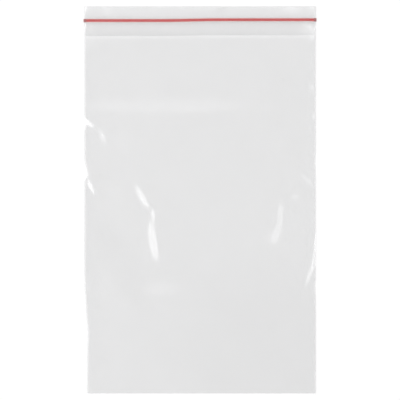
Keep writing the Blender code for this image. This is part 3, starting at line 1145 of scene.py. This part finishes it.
@dataclass
class ZipperPieces:
    """The closure: the channel strip, the rib strip and the coloured rib, each an extruded profile."""

    bag: BagSizes
    zipper: ZipProfile
    shape: LyingShape
    grid: SheetGrid
    strip_finish: StripFinish = field(default_factory=StripFinish)
    rib_finish: RibFinish = field(default_factory=RibFinish)
    rounding: float = 0.035 * MM
    rounded_angle: float = 20.0
    smooth_angle: float = 35.0

    def extruded(self, name: str, outline: list[Point], half_length: float) -> bpy.types.Object:
        """Extrudes an outline along X, rounds its corners and cuts it along the film's grid.

        Args:
            name: the piece's name.
            outline: its section's points, as y and z on the flat bag.
            half_length: half its length along X.

        Returns:
            The piece, still flat.
        """
        Bench.deselect()
        bpy.ops.mesh.primitive_circle_add(vertices=len(outline), fill_type="NGON")
        piece = bpy.context.object
        piece.name = piece.data.name = name
        Bench.place(piece, np.array([(-half_length, y, z) for y, z in outline]))
        Bench.extrude(piece, (2 * half_length, 0.0, 0.0))
        Bench.apply(piece, "BEVEL", width=self.rounding, segments=2, limit_method="ANGLE",
                    angle_limit=math.radians(self.rounded_angle), use_clamp_overlap=True)
        self.cut_up(piece)
        return piece

    def cut_up(self, piece: bpy.types.Object) -> None:
        """Cuts a flat piece along the film's own grid lines, so that the two bend alike.

        Args:
            piece: the piece, still flat.
        """
        points = Bench.coordinates(piece)
        bpy.ops.object.mode_set(mode="EDIT")
        for axis, lines in enumerate((self.grid.across, self.grid.along)):
            low, high = points[:, axis].min() + self.rounding, points[:, axis].max() - self.rounding
            normal = (1.0 - axis, float(axis), 0.0)
            for line in lines[(lines > low) & (lines < high)]:
                bpy.ops.mesh.select_all(action="SELECT")
                bpy.ops.mesh.bisect(plane_co=[line * part for part in normal], plane_no=normal)
        bpy.ops.object.mode_set(mode="OBJECT")

    def placed(self, outline: list[Point], level: float) -> list[Point]:
        """Moves an outline from the zipper's own axes to the flat bag's."""
        return [(self.bag.zip_line + y, level + z) for y, z in outline]

    def build(self) -> None:
        """Models the three pieces flat, lays them down and dresses them."""
        bag, zipper = self.bag, self.zipper
        low, high = bag.strip_low - bag.zip_line, bag.lip_edge - bag.zip_line
        lower = zipper.shoulder_outline(low, high, bag.strip_web, Side.UP)
        after_shoulder = lower.index((zipper.shoulder_top / 2, zipper.shoulder_rise)) + 1
        channel = lower[:after_shoulder] + zipper.leg_outline() + lower[after_shoulder:]
        upper = zipper.shoulder_outline(low, high, bag.strip_web, Side.DOWN)
        clear = self.strip_finish.material(bag, zipper)
        red = self.rib_finish.material(bag, zipper)
        top_level = bag.ply_stack + zipper.height
        rib_half = bag.width / 2 + zipper.rib_overhang
        parts = (
            ("zip_channel", channel, bag.ply_stack, bag.strip_half, clear, "channel_strip", "clear_strip"),
            ("zip_rib_carrier", upper, top_level, bag.strip_half, clear, "rib_strip", "clear_strip"),
            ("zip_red_rib", zipper.rib_outline(), bag.ply_stack, rib_half, red, "red_rib", "red_rib"),
        )
        for name, outline, level, half_length, material, node, slot in parts:
            piece = self.extruded(name, self.placed(outline, level), half_length)
            Bench.record_flat_map(piece, bag)
            Bench.place(piece, self.shape.lay(Bench.coordinates(piece)))
            Bench.finish(piece, material, node, slot, self.smooth_angle)


@dataclass(frozen=True)
class Softbox:
    """A rectangular lamp with a diffuser, aimed at the bag. Its size is across and along the bag."""

    name: str
    place: tuple[float, float, float]
    size: tuple[float, float]
    radiance: float

    def build(self) -> None:
        """Adds the lamp. Its power follows from its radiance and its area."""
        lamp = bpy.data.lights.new(self.name, "AREA")
        lamp.shape = "RECTANGLE"
        lamp.size, lamp.size_y = self.size
        lamp.energy = self.radiance * math.pi * self.size[0] * self.size[1]
        obj = bpy.data.objects.new(self.name, lamp)
        back = Vector(self.place).normalized()
        across = Vector((0.0, 1.0, 0.0)).cross(back).normalized()
        turn = Matrix((across, back.cross(across), back)).transposed()
        obj.matrix_world = Matrix.Translation(self.place) @ turn.to_4x4()
        bpy.context.scene.collection.objects.link(obj)


@dataclass
class Studio:
    """A white table under soft lamps, seen from straight above as in the photograph."""

    film_surfaces: int = 32
    photo_pixels: int = 400
    bag_pixels: float = 386.8
    lens: float = 150.0
    sensor: float = 36.0
    floor_side: float = 8.0
    floor_level: float = -0.25 * MM
    floor_glow: float = 0.64
    floor_tint: str = "E8E8E8"
    floor_dimmed: str = "AAAAAA"
    ambient: float = 0.40
    lamps: tuple[Softbox, ...] = (
        Softbox("key_left", (-0.36, -0.15, 1.02), (0.22, 0.60), 8.6),
        Softbox("fill_right", (0.42, -0.10, 1.02), (0.20, 0.60), 4.6),
        Softbox("fill_top", (-0.20, 0.95, 0.90), (0.90, 0.60), 3.0),
    )

    @staticmethod
    def white_to_viewer(tree: bpy.types.NodeTree) -> bpy.types.NodeSocket:
        """Tells rays that look at the studio itself from rays that gather its light.

        Args:
            tree: the node tree that asks.

        Returns:
            1 for the first kind of ray, and 0 for the second.
        """
        path = add_node(tree, "ShaderNodeLightPath", {})
        total: Any = 0.0
        for ray in Ray:
            total = add_node(tree, "ShaderNodeMath", {0: total, 1: path.outputs[ray.value]},
                             operation="ADD", use_clamp=True).outputs[0]
        return total

    def floor(self) -> None:
        """A plain pale table.

        The viewer's rays see it part lit and part glowing, so it is white and keeps the bag's faint shadow.
        """
        Bench.deselect()
        bpy.ops.mesh.primitive_plane_add(size=self.floor_side, location=(0.0, 0.0, self.floor_level))
        floor = bpy.context.object
        floor.name = floor.data.name = "floor"
        material = bpy.data.materials.new("pale_table")
        tree = new_tree(material)
        seen = self.white_to_viewer(tree)
        pale = add_node(tree, "ShaderNodeBsdfDiffuse", {"Color": linear(self.floor_tint)})
        dimmed = add_node(tree, "ShaderNodeBsdfDiffuse", {"Color": linear(self.floor_dimmed)})
        glow = add_node(tree, "ShaderNodeEmission", {
            "Color": linear("FFFFFF"), "Strength": self.floor_glow})
        lit = add_node(tree, "ShaderNodeAddShader", {0: dimmed.outputs[0], 1: glow.outputs[0]})
        surface = add_node(tree, "ShaderNodeMixShader", {0: seen, 1: pale.outputs[0], 2: lit.outputs[0]})
        add_node(tree, "ShaderNodeOutputMaterial", {"Surface": surface.outputs[0]})
        floor.data.materials.append(material)

    def world(self) -> None:
        """White where the camera sees it, and a soft even grey as a light."""
        world = bpy.data.worlds.new("studio")
        world.use_nodes = True
        tree = world.node_tree
        tree.nodes.clear()
        seen = self.white_to_viewer(tree)
        strength = add_node(tree, "ShaderNodeMapRange", {
            "Value": seen, "To Min": self.ambient, "To Max": 1.0})
        background = add_node(tree, "ShaderNodeBackground", {
            "Color": linear("FFFFFF"), "Strength": strength.outputs[0]})
        add_node(tree, "ShaderNodeOutputWorld", {"Surface": background.outputs[0]})
        bpy.context.scene.world = world

    def camera(self, bag: BagSizes) -> None:
        """Looks straight down, as far off as makes the bag as tall in the frame as in the photograph.

        Args:
            bag: the sizes that set the distance.
        """
        seen = bag.length * self.photo_pixels / self.bag_pixels
        data = bpy.data.cameras.new("camera")
        data.lens, data.sensor_width = self.lens, self.sensor
        obj = bpy.data.objects.new("camera", data)
        obj.location = (0.0, 0.0, seen * self.lens / self.sensor)
        bpy.context.scene.collection.objects.link(obj)
        bpy.context.scene.camera = obj

    def build(self, bag: BagSizes) -> None:
        """Sets the floor, the world, the lamps and the camera.

        Args:
            bag: the sizes that set the camera's distance.
        """
        bpy.context.scene.view_settings.view_transform = "Standard"
        bpy.context.scene.cycles.transparent_max_bounces = self.film_surfaces
        self.floor()
        self.world()
        for lamp in self.lamps:
            lamp.build()
        self.camera(bag)


def main() -> None:
    """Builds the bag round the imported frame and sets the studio."""
    logging.basicConfig(level=logging.INFO, format="%(name)s: %(message)s")
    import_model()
    bag, zipper = BagSizes.from_frame(), ZipProfile()
    shape, grid = LyingShape(bag, zipper), SheetGrid(bag, zipper)
    FilmPouch(bag, zipper, shape, grid).build()
    ZipperPieces(bag, zipper, shape, grid).build()
    Studio().build(bag)


if __name__ == "__main__":
    main()
